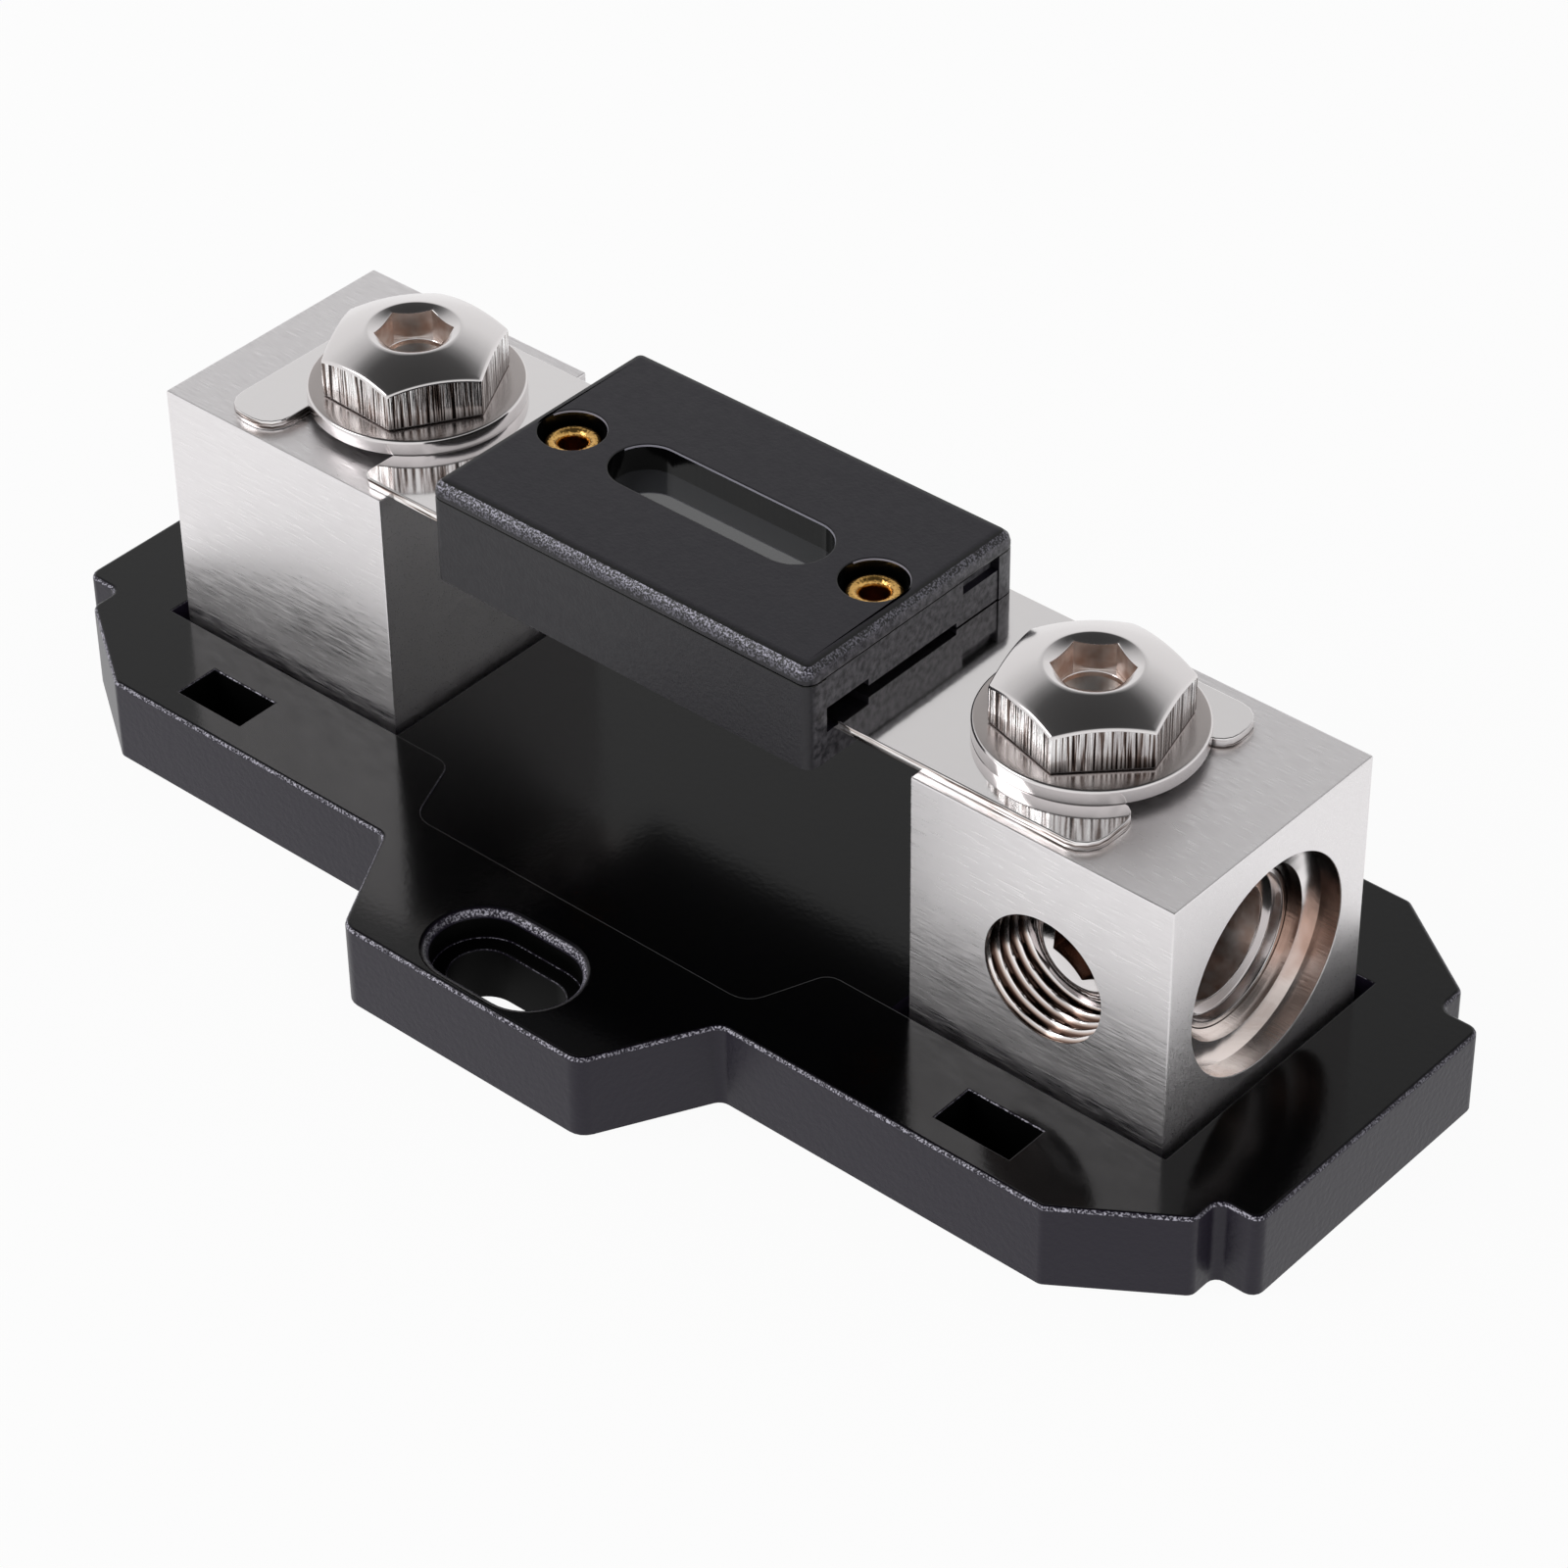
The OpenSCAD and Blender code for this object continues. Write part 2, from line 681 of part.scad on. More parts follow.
// Upper half of the case: rounded top, end walls down to the strip, sight slot and rivet posts
module fuse_lid() {
    half = case_len / 2;
    wall_y = tray_in_w / 2 - lid_fit;
    color([0.16, 0.16, 0.17])
        difference() {
            translate([fuse_x, case_y, 0])
                difference() {
                    union() {
                        translate([0, 0, parting])
                            rounded_slab(box_corners(case_len, case_w, case_r), lid_t, lid_r);
                        // Roof under the slab, inside the tray's side walls
                        box_at(-half + end_inset, half - end_inset, -wall_y, wall_y, window_top, parting + 0.2);
                        both_ends() {
                            box_at(half - case_wall, half - end_inset, -wall_y, wall_y,
                                strip_top + end_gap + end_notch, parting + 0.2);
                            box_at(half - case_wall, half - end_inset, -end_tab / 2, wall_y,
                                strip_top + end_gap, parting);
                            box_at(half - case_wall, half - end_inset, end_tab / 2, wall_y,
                                strip_top + foot_gap, parting);
                            translate([rivet_span / 2, 0, strip_top])
                                cylinder(d = rivet_d + 2, h = parting - strip_top);
                        }
                    }
                    both_ends()
                        box_at(half - end_inset - clip_deep, half + past, wall_y - clip_len, wall_y + past,
                            parting - clip_h, parting);
                    translate([0, 0, window_top - past])
                        slot_shape(sight_len, sight_w, lid_roof + 2 * past);
                }
            rivet_places() {
                translate([0, 0, strip_top - past])
                    cylinder(d = rivet_d + 2 * lid_fit, h = case_up + 2 * past);
                translate([0, 0, rivet_seat])
                    cylinder(d = rivet_recess_d, h = rivet_recess + past);
            }
        }
}

// Clear strip glued under the sight slot
module fuse_window() {
    color([0.75, 0.8, 0.8, 0.5])
        translate([fuse_x, case_y, window_top - window_t])
            slot_shape(sight_len + 2 * window_lap, sight_w + 2 * window_lap, window_t);
}

// Tubular rivet through lid, strip and tray, with a rolled head at each end
module fuse_rivet(side) {
    foot = case_bottom + case_down - tray_floor;
    roll = (rivet_head_d - rivet_bore) / 4;
    ring = rivet_bore / 2 + roll;
    color([0.72, 0.55, 0.28])
        translate([fuse_x + side * rivet_span / 2, case_y, 0])
            rotate_extrude()
                union() {
                    translate([rivet_bore / 2, foot - roll])
                        square([(rivet_d - rivet_bore) / 2, rivet_seat - foot + 2 * roll]);
                    translate([ring, rivet_seat + roll])
                        circle(r = roll, $fn = 24);
                    translate([ring, foot - roll])
                        circle(r = roll, $fn = 24);
                }
}

// Pan head screw from below, through the floor of the seat into the block
module block_screw(side, where) {
    head_top = block_z - floor_t;
    color([0.62, 0.62, 0.63])
        at_side(side)
            translate([block_mid + where * fix_span / 2, 0, 0])
                difference() {
                    union() {
                        translate([0, 0, head_top])
                            cylinder(d = fix_d, h = floor_t + fix_grip);
                        translate([0, 0, head_top - fix_head_h])
                            cylinder(d1 = fix_head_d - 1.2, d2 = fix_head_d, h = 0.7);
                        translate([0, 0, head_top - fix_head_h + 0.7])
                            cylinder(d = fix_head_d, h = fix_head_h - 0.7);
                    }
                    for (a = [0, 90])
                        rotate(a)
                            box_at(-fix_d / 2, fix_d / 2, -0.5, 0.5, head_top - fix_head_h - past,
                                head_top - fix_head_h / 3);
                }
}

base();
terminal_block(-1);  // terminal_block_left
terminal_block(1);  // terminal_block_right
cable_reducer(-1);  // cable_reducer_left
cable_reducer(1);  // cable_reducer_right
cable_set_screw(-1);  // cable_set_screw_left
cable_set_screw(1);  // cable_set_screw_right
fuse_bolt(-1, turn_left);  // fuse_bolt_left
fuse_bolt(1, turn_right);  // fuse_bolt_right
bolt_washer(-1);  // bolt_washer_left
bolt_washer(1);  // bolt_washer_right
fuse_strip();
fuse_tray();
fuse_lid();
fuse_window();
fuse_rivet(-1);  // fuse_rivet_left
fuse_rivet(1);  // fuse_rivet_right
block_screw(-1, 1);  // block_screw_left_outer
block_screw(-1, -1);  // block_screw_left_inner
block_screw(1, 1);  // block_screw_right_outer
block_screw(1, -1);  // block_screw_right_inner
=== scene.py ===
"""Looks of the strip fuse holder: finishes, rounded and threaded pieces, studio and camera."""

import bmesh
import bpy
import numpy as np
from mathutils import Matrix, Vector
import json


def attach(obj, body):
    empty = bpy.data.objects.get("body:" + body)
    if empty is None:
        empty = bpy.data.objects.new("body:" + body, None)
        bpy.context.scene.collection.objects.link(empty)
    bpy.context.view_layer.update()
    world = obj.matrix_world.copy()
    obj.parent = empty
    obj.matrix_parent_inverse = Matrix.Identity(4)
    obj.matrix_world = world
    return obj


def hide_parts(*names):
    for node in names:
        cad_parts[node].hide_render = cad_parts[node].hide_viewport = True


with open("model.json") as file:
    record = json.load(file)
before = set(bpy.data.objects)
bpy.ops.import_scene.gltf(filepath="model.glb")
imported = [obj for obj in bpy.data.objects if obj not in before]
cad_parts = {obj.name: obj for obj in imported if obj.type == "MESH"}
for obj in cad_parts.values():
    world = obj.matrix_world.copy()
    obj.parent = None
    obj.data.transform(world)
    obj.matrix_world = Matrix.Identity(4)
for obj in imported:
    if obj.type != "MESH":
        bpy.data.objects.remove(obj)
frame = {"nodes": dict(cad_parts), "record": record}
nodes = frame["nodes"]
MM = 0.001


def note_size():
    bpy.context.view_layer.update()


note_size()

# ------------------------------------------------- sizes in millimetres, as in the CAD part

# Right terminal block; the left one is the same, turned half round
BLOCK_IN, BLOCK_OUT, BLOCK_HALF, BLOCK_TOP = 24.4, 46.2, 10.75, 26.6
# Cable entry: height of its axis, bore, widest step, and a radius between the sleeve's bore and its outside
CABLE_Z, CABLE_R, ENTRY_R, SLEEVE_R = 15.5, 6.0, 8.2, 5.0
# Set screw: place along the block, hole radius, depth of its face behind the mouth, length
SET_X, SET_R, SET_SINK, SET_LEN = 35.8, 4.9, 4.1, 6.0
BOLT_X, STRIP_TOP, WASHER_TOP = 31.0, 27.4, 28.6
BOLT_TIP = CABLE_Z + CABLE_R + 0.4
# Key sockets of bolts and set screws: across the flats, drill radius, and turn of a corner in degrees
KEY_AF, KEY_DRILL_R, BOLT_KEY_TURN, SET_KEY_TURN = 5.0, 2.35, -10, 30
# Fuse case: middle, top, parting plane, and half the zone that holds the sight slot and the rivets
CASE_X, CASE_Y, CASE_TOP, PARTING = -0.2, -1.6, 32.5, 31.1
CASE_ZONE_X, CASE_ZONE_Y = 17.2, 3.5
# Base: upper face, ledge in the ear slots, and the zones of its openings
BASE_TOP, LEDGE = 6.85, 4.35
EAR_SLOT_X, EAR_SLOT_Y = 6.5, (20.9, 28.9)
WINDOW_X, WINDOW_Y = (32.7, 39.5), (14.4, 18.5)
# Tolerances: of a flat face, of a level edge, and of a bore drawn with chords
FACE_NEAR, LEVEL_NEAR, BORE_NEAR = 0.01, 0.02, 0.03

# ------------------------------------------------- nodes and colours

# Sockets of a colour Mix node: both colours and the result
FIRST, SECOND, MIXED = 6, 7, 2


def linear(code):
    """sRGB hex code to a linear colour with alpha 1: the usual two-part curve on each channel."""
    c = np.array([int(code[i:i + 2], 16) for i in (1, 3, 5)]) / 255
    c = np.where(c <= 0.04045, c / 12.92, ((c + 0.055) / 1.055) ** 2.4)
    return (*c, 1.0)


def feed(node, sources):
    """Gives sockets of a node their source: another socket, another node's first output, or a plain value."""
    for key, source in sources.items():
        if isinstance(source, bpy.types.Node):
            source = source.outputs[0]
        if isinstance(source, bpy.types.NodeSocket):
            node.id_data.links.new(source, node.inputs[key])
        else:
            node.inputs[key].default_value = source


def add(tree, kind, sources=None, **settings):
    """Adds a node. settings name its properties, or its sockets by name; sources feed its sockets."""
    n = tree.nodes.new(kind)
    sockets = {i.name.replace(" ", "_"): i for i in reversed(n.inputs)}
    for key, value in settings.items():
        if key in sockets:
            sockets[key].default_value = value
        else:
            setattr(n, key, value)
    feed(n, sources or {})
    return n


def finish_of(name, colour, **shader):
    """A new material with a Principled shader. Returns the material, its node tree and the shader."""
    m = bpy.data.materials.new(name)
    m.use_nodes = True
    tree = m.node_tree
    tree.nodes.clear()
    s = add(tree, "ShaderNodeBsdfPrincipled", Base_Color=linear(colour), **shader)
    add(tree, "ShaderNodeOutputMaterial", {"Surface": s})
    return m, tree, s


def pattern(tree, grain_mm, stretch=(1, 1, 1), detail=2.0):
    """Noise on Object coordinates with a grain of the given size; stretch makes it longer along an axis."""
    where = add(tree, "ShaderNodeTexCoord").outputs["Object"]
    scaled = add(tree, "ShaderNodeMapping", {"Vector": where},
                 Scale=tuple(1 / (grain_mm * MM * s) for s in stretch))
    return add(tree, "ShaderNodeTexNoise", {"Vector": scaled}, Scale=1.0, Detail=detail)


def slope(tree, kind="Normal", axis="Z"):
    """One part of the surface direction. The upward one is 1 facing up and 0 on a wall."""
    split = add(tree, "ShaderNodeSeparateXYZ", {"Vector": add(tree, "ShaderNodeNewGeometry").outputs[kind]})
    return split.outputs[axis]


def height(tree, low_mm, high_mm):
    """0 at the lower height of the part and 1 at the upper one."""
    split = add(tree, "ShaderNodeSeparateXYZ", {"Vector": add(tree, "ShaderNodeTexCoord").outputs["Object"]})
    return add(tree, "ShaderNodeMapRange", {"Value": split.outputs["Z"]},
               From_Min=low_mm * MM, From_Max=high_mm * MM)


def blended(tree, amount, *stops):
    """A colour that follows an amount through stops, each (amount, hex colour)."""
    ramp = add(tree, "ShaderNodeValToRGB", {"Fac": amount})
    for (at, colour), stop in zip((stops[0], stops[-1]), ramp.color_ramp.elements):
        stop.position = at
        stop.color = linear(colour)
    for at, colour in stops[1:-1]:
        ramp.color_ramp.elements.new(at).color = linear(colour)
    return ramp.outputs[0]


def painted_edge_highlight(tree, plain, up, slopes, colour):
    """The plain colour with pale specks where the upward part lies between the middle two slopes: a painted
    highlight on rounded edges, broken up by grain.

    The painted highlight is strongest along the edges that face the front.
    """
    start, full, last, end = slopes
    specks = add(tree, "ShaderNodeMapRange", {"Value": up}, From_Min=start, From_Max=full)
    falling = add(tree, "ShaderNodeMapRange", {"Value": up}, From_Min=last, From_Max=end, To_Min=1.0, To_Max=0.0)
    front = add(tree, "ShaderNodeMapRange", {"Value": slope(tree, axis="Y")},
                From_Min=-0.5, From_Max=0.0, To_Min=1.0, To_Max=0.35)
    grain = add(tree, "ShaderNodeMapRange", {"Value": pattern(tree, 0.15, detail=3.0)},
                From_Min=0.46, From_Max=0.62)
    for part in (falling, front, grain):
        specks = add(tree, "ShaderNodeMath", {0: specks, 1: part}, operation="MULTIPLY")
    # Pale specks mixed in: the painted highlight along the edge
    painted_shading = add(tree, "ShaderNodeMix", {"Factor": specks, FIRST: plain, SECOND: linear(colour)}, data_type="RGBA")
    return painted_shading.outputs[MIXED]


# ------------------------------------------------- finishes


def moulded_nylon():
    """Glass-filled nylon, injection moulded: polished tool on top, and a spark-eroded grain on the sides, which
    are painted lighter partly as a reflection of the bright floor; a painted highlight runs along the top edges.
    """
    m, t, s = finish_of("glass_filled_nylon_base", "#060607", IOR=1.37)
    up = slope(t)
    tilt = add(t, "ShaderNodeMapRange", {"Value": up}, From_Min=0.8, From_Max=0.99, To_Min=1.0, To_Max=0.0)
    # Lighter on the sides than on top: partly the matt grain, partly a painted reflection of the bright floor
    plain = blended(t, tilt, (0.0, "#030304"), (1.0, "#1e1927"))
    rough = add(t, "ShaderNodeMapRange", {"Value": tilt}, To_Min=0.14, To_Max=0.36)
    coarse = add(t, "ShaderNodeMapRange", {"Value": tilt}, To_Min=0.1, To_Max=0.6)
    grain = add(t, "ShaderNodeBump", {"Height": pattern(t, 0.45), "Strength": coarse}, Distance=0.04 * MM)
    # Pale specks on the rounded top edges: a painted highlight
    colour = painted_edge_highlight(t, plain, up, (0.15, 0.35, 0.8, 0.9), "#cbc8d6")
    feed(s, {"Base Color": colour, "Roughness": rough, "Normal": grain})
    return m


def cored_wall():
    """The same nylon in slots and windows, drawn matt by the core pins: black, hardly any shine."""
    return finish_of("glass_filled_nylon_cored", "#030303", Roughness=0.6, Specular_IOR_Level=0.08)[0]


def moulded_case():
    """Phenolic case moulding with a satin skin: dark grey, chalky ends, a painted dark line where the top curves
    into the rim, and a painted highlight of pale grey specks on the rim.
    """
    m, t, s = finish_of("phenolic_case", "#17161a", IOR=1.44)
    up = slope(t)
    # Painted shade: a dark line where the top curves down into the rim, between slopes 0.93 and 0.985
    side = blended(t, up, (0.0, "#1d1b21"), (0.86, "#19181c"), (0.93, "#0c0c0e"), (0.985, "#0e0e10"),
                   (0.998, "#17131f"))
    endways = add(t, "ShaderNodeMath", {0: slope(t, axis="X")}, operation="ABSOLUTE")
    end = add(t, "ShaderNodeMapRange", {"Value": endways}, From_Min=0.85, From_Max=0.99)
    chalky = blended(t, pattern(t, 0.5, detail=4.0), (0.35, "#2a292d"), (0.65, "#5e5c61"))
    plain = add(t, "ShaderNodeMix", {"Factor": end, FIRST: side, SECOND: chalky}, data_type="RGBA")
    coarse = add(t, "ShaderNodeMapRange", {"Value": up}, From_Min=0.6, From_Max=1.0, To_Min=1.0, To_Max=0.3)
    grain = add(t, "ShaderNodeBump", {"Height": pattern(t, 0.3), "Strength": coarse}, Distance=0.035 * MM)
    rough = add(t, "ShaderNodeMapRange", {"Value": pattern(t, 0.7)}, To_Min=0.34, To_Max=0.5)
    # Pale grey specks on the rounded rim: a painted highlight
    colour = painted_edge_highlight(t, plain.outputs[MIXED], up, (0.12, 0.45, 0.62, 0.92), "#d6d3e6")
    feed(s, {"Base Color": colour, "Roughness": rough, "Normal": grain})
    return m


def polished_wall():
    """The same phenolic where a core pin formed it: black and glossy, with faint upright draw lines."""
    m, t, s = finish_of("phenolic_core_pin_wall", "#050505", Roughness=0.12, IOR=1.4)
    feed(s, {"Normal": add(t, "ShaderNodeBump", {"Height": pattern(t, 0.4, (1, 1, 20))}, Distance=0.01 * MM)})
    return m


def painted_rim_highlight():
    """The edge of a cored opening in the phenolic, painted pale grey: a painted highlight, a thin line of light.
    """
    m, t, s = finish_of("phenolic_burnished_rim", "#a3a1ad", Roughness=0.3)
    feed(s, {"Normal": add(t, "ShaderNodeBump", {"Height": pattern(t, 0.4)}, Distance=0.01 * MM)})
    return m


def nickel_block():
    """Nickel plate over milled brass: a soft grey mirror, faintly brushed with fine lines along X."""
    m, t, s = finish_of("nickel_plated_brass_block", "#ece9ea", Metallic=1.0)
    lines = pattern(t, 0.07, (24, 1, 1))
    rough = add(t, "ShaderNodeMapRange", {"Value": lines}, From_Min=0.3, From_Max=0.7, To_Min=0.26, To_Max=0.54)
    feed(s, {"Roughness": rough, "Normal": add(t, "ShaderNodeBump", {"Height": lines}, Distance=0.005 * MM)})
    return m


def thin_plate():
    """Nickel thins out in bores and the brass shows brown through it: glossy, with drag marks of the drill, and
    painted shade from near white low down to near black at the top.
    """
    m, t, s = finish_of("thin_nickel_in_bores", "#a58b7e", Metallic=1.0, Roughness=0.22)
    cloudy = add(t, "ShaderNodeMapRange", {"Value": pattern(t, 3.0)},
                 From_Min=0.3, From_Max=0.7, To_Min=-0.12, To_Max=0.12)
    # Painted shade: lighter low in the bore, darker towards the top, with a random cloud
    painted_shading = add(t, "ShaderNodeMath", {0: height(t, 8.5, 22.0), 1: cloudy}, operation="ADD")
    colour = blended(t, painted_shading, (0.0, "#f2e8e2"), (0.26, "#c4a697"), (0.52, "#6b5247"), (0.8, "#171210"))
    marks = pattern(t, 0.22, (9, 1, 1), 3.0)
    feed(s, {"Base Color": colour, "Normal": add(t, "ShaderNodeBump", {"Height": marks}, Distance=0.02 * MM)})
    return m


def key_socket():
    """A broached key socket and a reamed bore: satin nickel so thin that it looks like pale copper."""
    m, t, s = finish_of("thin_nickel_in_sockets", "#e6d8cf", Metallic=1.0, Roughness=0.33)
    colour = blended(t, pattern(t, 1.4), (0.35, "#cfb9ad"), (0.65, "#f5eeea"))
    marks = pattern(t, 0.25, (1, 1, 9), 3.0)
    feed(s, {"Base Color": colour, "Normal": add(t, "ShaderNodeBump", {"Height": marks}, Distance=0.01 * MM)})
    return m


def cut_thread():
    """Turns cut through the plating: bright crests, and roots painted darker through brown to near black, a
    painted shade in the grooves.

    The mesh attribute root is 0 on a crest and 1 in a root.
    """
    m, t, s = finish_of("nickel_plated_thread", "#dedada", Metallic=1.0, Roughness=0.14)
    root = add(t, "ShaderNodeAttribute", attribute_name="root").outputs["Fac"]
    # Darker towards the roots: painted shade in the grooves
    feed(s, {"Base Color": blended(t, root, (0.1, "#f2eeee"), (0.34, "#b7a49a"), (0.55, "#5c463d"),
                                   (1.0, "#2a1f1b"))})
    return m


def bright_strip():
    """Bright nickel plate over rolled strip: nearly a mirror, with brown drag lines on its die-cut edge."""
    m, t, s = finish_of("nickel_plated_fuse_strip", "#ebe8e8", Metallic=1.0, Roughness=0.09)
    cut = add(t, "ShaderNodeMapRange", {"Value": slope(t)}, From_Min=0.1, From_Max=0.3, To_Min=1.0, To_Max=0.0)
    drag = blended(t, pattern(t, 0.16, (25, 25, 1), 3.0), (0.38, "#443833"), (0.47, "#c4b8b2"),
                   (0.54, "#f4f1f0"))
    mix = add(t, "ShaderNodeMix", {"Factor": cut, FIRST: linear("#ebe8e8"), SECOND: drag}, data_type="RGBA")
    waves = add(t, "ShaderNodeBump", {"Height": pattern(t, 1.2)}, Distance=0.003 * MM)
    feed(s, {"Base Color": mix.outputs[MIXED], "Normal": waves})
    return m


def plated_steel():
    """Nickel plate over cold-headed steel: bright dome, flats scored upright by the die, brown in the scores."""
    m, t, s = finish_of("nickel_plated_steel_bolt", "#dedada", Metallic=1.0, Roughness=0.15)
    lines = pattern(t, 0.17, (1, 1, 40), 4.0)
    level = add(t, "ShaderNodeMath", {0: slope(t, "True Normal")}, operation="ABSOLUTE")
    upright = add(t, "ShaderNodeMath", {0: level, 1: 0.1}, operation="LESS_THAN")
    scored = blended(t, lines, (0.38, "#1e1918"), (0.45, "#85736a"), (0.49, "#dedada"), (0.6, "#ffffff"))
    mix = add(t, "ShaderNodeMix", {"Factor": upright, FIRST: linear("#dedada"), SECOND: scored},
              data_type="RGBA")
    scores = add(t, "ShaderNodeBump", {"Height": lines, "Strength": upright}, Distance=0.12 * MM)
    feed(s, {"Base Color": mix.outputs[MIXED], "Normal": scores})
    return m


def plain_steel():
    """Nickel plate over turned steel washers, screws and sleeves: bright, greyer where it faces up."""
    m, t, s = finish_of("nickel_plated_steel_washer", "#dedada", Metallic=1.0)
    up = slope(t)
    rough = add(t, "ShaderNodeMapRange", {"Value": up}, From_Min=0.9, From_Max=0.98, To_Min=0.12, To_Max=0.24)
    marks = add(t, "ShaderNodeBump", {"Height": pattern(t, 0.5)}, Distance=0.003 * MM)
    feed(s, {"Base Color": blended(t, up, (0.9, "#dedada"), (0.98, "#b0a9a7")), "Roughness": rough,
             "Normal": marks})
    return m


def rolled_brass():
    """Bare brass, rolled over by the rivet tool: warm yellow with small ridges, and painted shade darkening it
    to near black at the lower head.
    """
    m, t, s = finish_of("rolled_brass_rivet", "#e2b369", Metallic=1.0, Roughness=0.16)
    ridges = add(t, "ShaderNodeBump", {"Height": pattern(t, 0.22)}, Distance=0.05 * MM)
    # Painted shade: near black at the lower head under the case, full colour from 27 mm up
    feed(s, {"Base Color": blended(t, height(t, 24.0, 27.0), (0.0, "#0f0b06"), (1.0, "#e2b369")),
             "Normal": ridges})
    return m


def smoked_acrylic():
    """Smoke-tinted acrylic with a hard gloss coat: mirrors the room at a slant, dark through its thickness."""
    m, t, s = finish_of("smoked_acrylic_window", "#4b4c50", Roughness=0.03, IOR=2.1, Transmission_Weight=0.3)
    feed(s, {"Normal": add(t, "ShaderNodeBump", {"Height": pattern(t, 3.0)}, Distance=0.003 * MM)})
    return m


def zinc_steel():
    """Zinc plate over steel: duller and slightly blue."""
    m, t, s = finish_of("zinc_plated_steel_screw", "#a9abb0", Metallic=1.0, Roughness=0.32)
    feed(s, {"Normal": add(t, "ShaderNodeBump", {"Height": pattern(t, 0.4)}, Distance=0.004 * MM)})
    return m


FINISHES = {
    "base_plastic": moulded_nylon(),
    "case_plastic": moulded_case(),
    "plated_block": nickel_block(),
    "plated_strip": bright_strip(),
    "plated_steel": plated_steel(),
    "rivet_brass": rolled_brass(),
    "clear_window": smoked_acrylic(),
    "zinc_steel": zinc_steel(),
}
turned_finish, bore_finish, thread_finish = plain_steel(), thin_plate(), cut_thread()
wall_finish, pit_finish = polished_wall(), cored_wall()
rim_highlight_finish, socket_finish = painted_rim_highlight(), key_socket()


def dress(obj, *materials):
    """Gives an object these materials in place of its own. Clearing also resets which face has which."""
    if obj.data.materials:
        obj.data.materials.clear()
    for m in materials:
        obj.data.materials.append(m)


def crisp_edges(o):
    """Curved faces shade smoothly and edges stay crisp."""
    weld = o.modifiers.new("weld", "WELD")
    weld.merge_threshold = 0.002 * MM
    split = o.modifiers.new("crisp", "EDGE_SPLIT")
    split.split_angle = np.radians(28)
    even = o.modifiers.new("even", "WEIGHTED_NORMAL")
    even.weight = 100


for row in frame["record"]["subparts"]:
    o = nodes[row["node"]]
    dress(o, FINISHES[row["material_slot"]])
    o.data.polygons.foreach_set("use_smooth", np.ones(len(o.data.polygons), bool))
    if o.data.attributes.get("custom_normal"):
        o.data.attributes.remove(o.data.attributes["custom_normal"])
    crisp_edges(o)

# ------------------------------------------------- pieces made from CAD nodes


def merged_copy(cad):
    """One welded mesh from a CAD node, with flat areas joined into single faces, as a bmesh."""
    bm = bmesh.new()
    bm.from_mesh(nodes[cad].data)
    bmesh.ops.remove_doubles(bm, verts=bm.verts, dist=0.003 * MM)
    bmesh.ops.dissolve_limit(bm, angle_limit=np.radians(0.6), verts=bm.verts, edges=bm.edges)
    return bm


def round_off(bm, width_mm, steps, wanted):
    """Rounds the sharp edges that wanted(middle, normals) picks; middle in mm, normals of its two faces."""
    picked = []
    for e in bm.edges:
        if len(e.link_faces) == 2 and e.calc_face_angle() > np.radians(40):
            middle = (e.verts[0].co + e.verts[1].co) / 2 / MM
            if wanted(middle, [f.normal for f in e.link_faces]):
                picked.append(e)
    bmesh.ops.bevel(bm, geom=picked, offset=width_mm * MM, segments=steps, profile=0.5,
                    affect="EDGES", clamp_overlap=False)


def place(name, mesh, body, materials, stands_for):
    """Shows a mesh as a piece that rides on a body, wears the given materials and replaces a CAD node."""
    mesh.polygons.foreach_set("use_smooth", np.ones(len(mesh.polygons), bool))
    o = bpy.data.objects.new(name, mesh)
    bpy.context.scene.collection.objects.link(o)
    dress(o, *materials)
    crisp_edges(o)
    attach(o, body)
    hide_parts(stands_for)


def piece(name, bm, materials, stands_for):
    """Places a bmesh as a piece of the holder and frees it."""
    mesh = bpy.data.meshes.new(name)
    bm.to_mesh(mesh)
    bm.free()
    place(name, mesh, "holder", materials, stands_for)


def level_edge(z, middle, normals):
    """True for an edge at height z between a level face and a steep one."""
    return abs(middle.z - z) < LEVEL_NEAR and max(abs(n.z) for n in normals) > 0.9


def rounded_base():
    """The base with its upper edges rounded as moulded, and soft rims on the slots."""
    bm = merged_copy("base")

    def in_slot(m):
        return abs(m.x) < EAR_SLOT_X and EAR_SLOT_Y[0] < abs(m.y) < EAR_SLOT_Y[1]

    def in_window(m):
        return WINDOW_X[0] < abs(m.x) < WINDOW_X[1] and WINDOW_Y[0] < abs(m.y) < WINDOW_Y[1]

    def in_middle(m):
        """Inside the edge of the fine step and of the block seats."""
        return (abs(m.x) < 48 and abs(m.y) < 11.9) or (abs(m.x) < 19.5 and abs(m.y) < 17.8)

    def on_outline(m):
        return not (in_slot(m) or in_window(m) or in_middle(m))

    for z, width, steps, zone in ((BASE_TOP, 0.7, 5, in_slot), (LEDGE, 0.14, 2, in_slot),
                                  (BASE_TOP, 0.36, 4, on_outline), (BASE_TOP, 0.12, 2, in_window),
                                  (BASE_TOP, 0.1, 2, in_middle)):
        round_off(bm, width, steps, lambda m, n: level_edge(z, m, n) and zone(m))
    bm.normal_update()
    pit = 1
    for f in bm.faces:
        c = f.calc_center_median() / MM
        ledge = f.normal.z > 0.99 and c.z < BASE_TOP - 1
        if (in_slot(c) or in_window(c)) and (abs(f.normal.z) < 0.05 or ledge):
            f.material_index = pit
    piece("moulded_base", bm, [FINISHES["base_plastic"], pit_finish], "base")


def rounded_strip():
    """The fuse strip with the small rounding that stamping and plating leave on its edges."""
    bm = merged_copy("fuse_strip")
    blades_from = 17

    def shown(m, n):
        return (level_edge(STRIP_TOP, m, n) or level_edge(BLOCK_TOP, m, n)) and abs(m.x) > blades_from

    round_off(bm, 0.13, 2, shown)
    piece("stamped_strip", bm, [FINISHES["plated_strip"]], "fuse_strip")


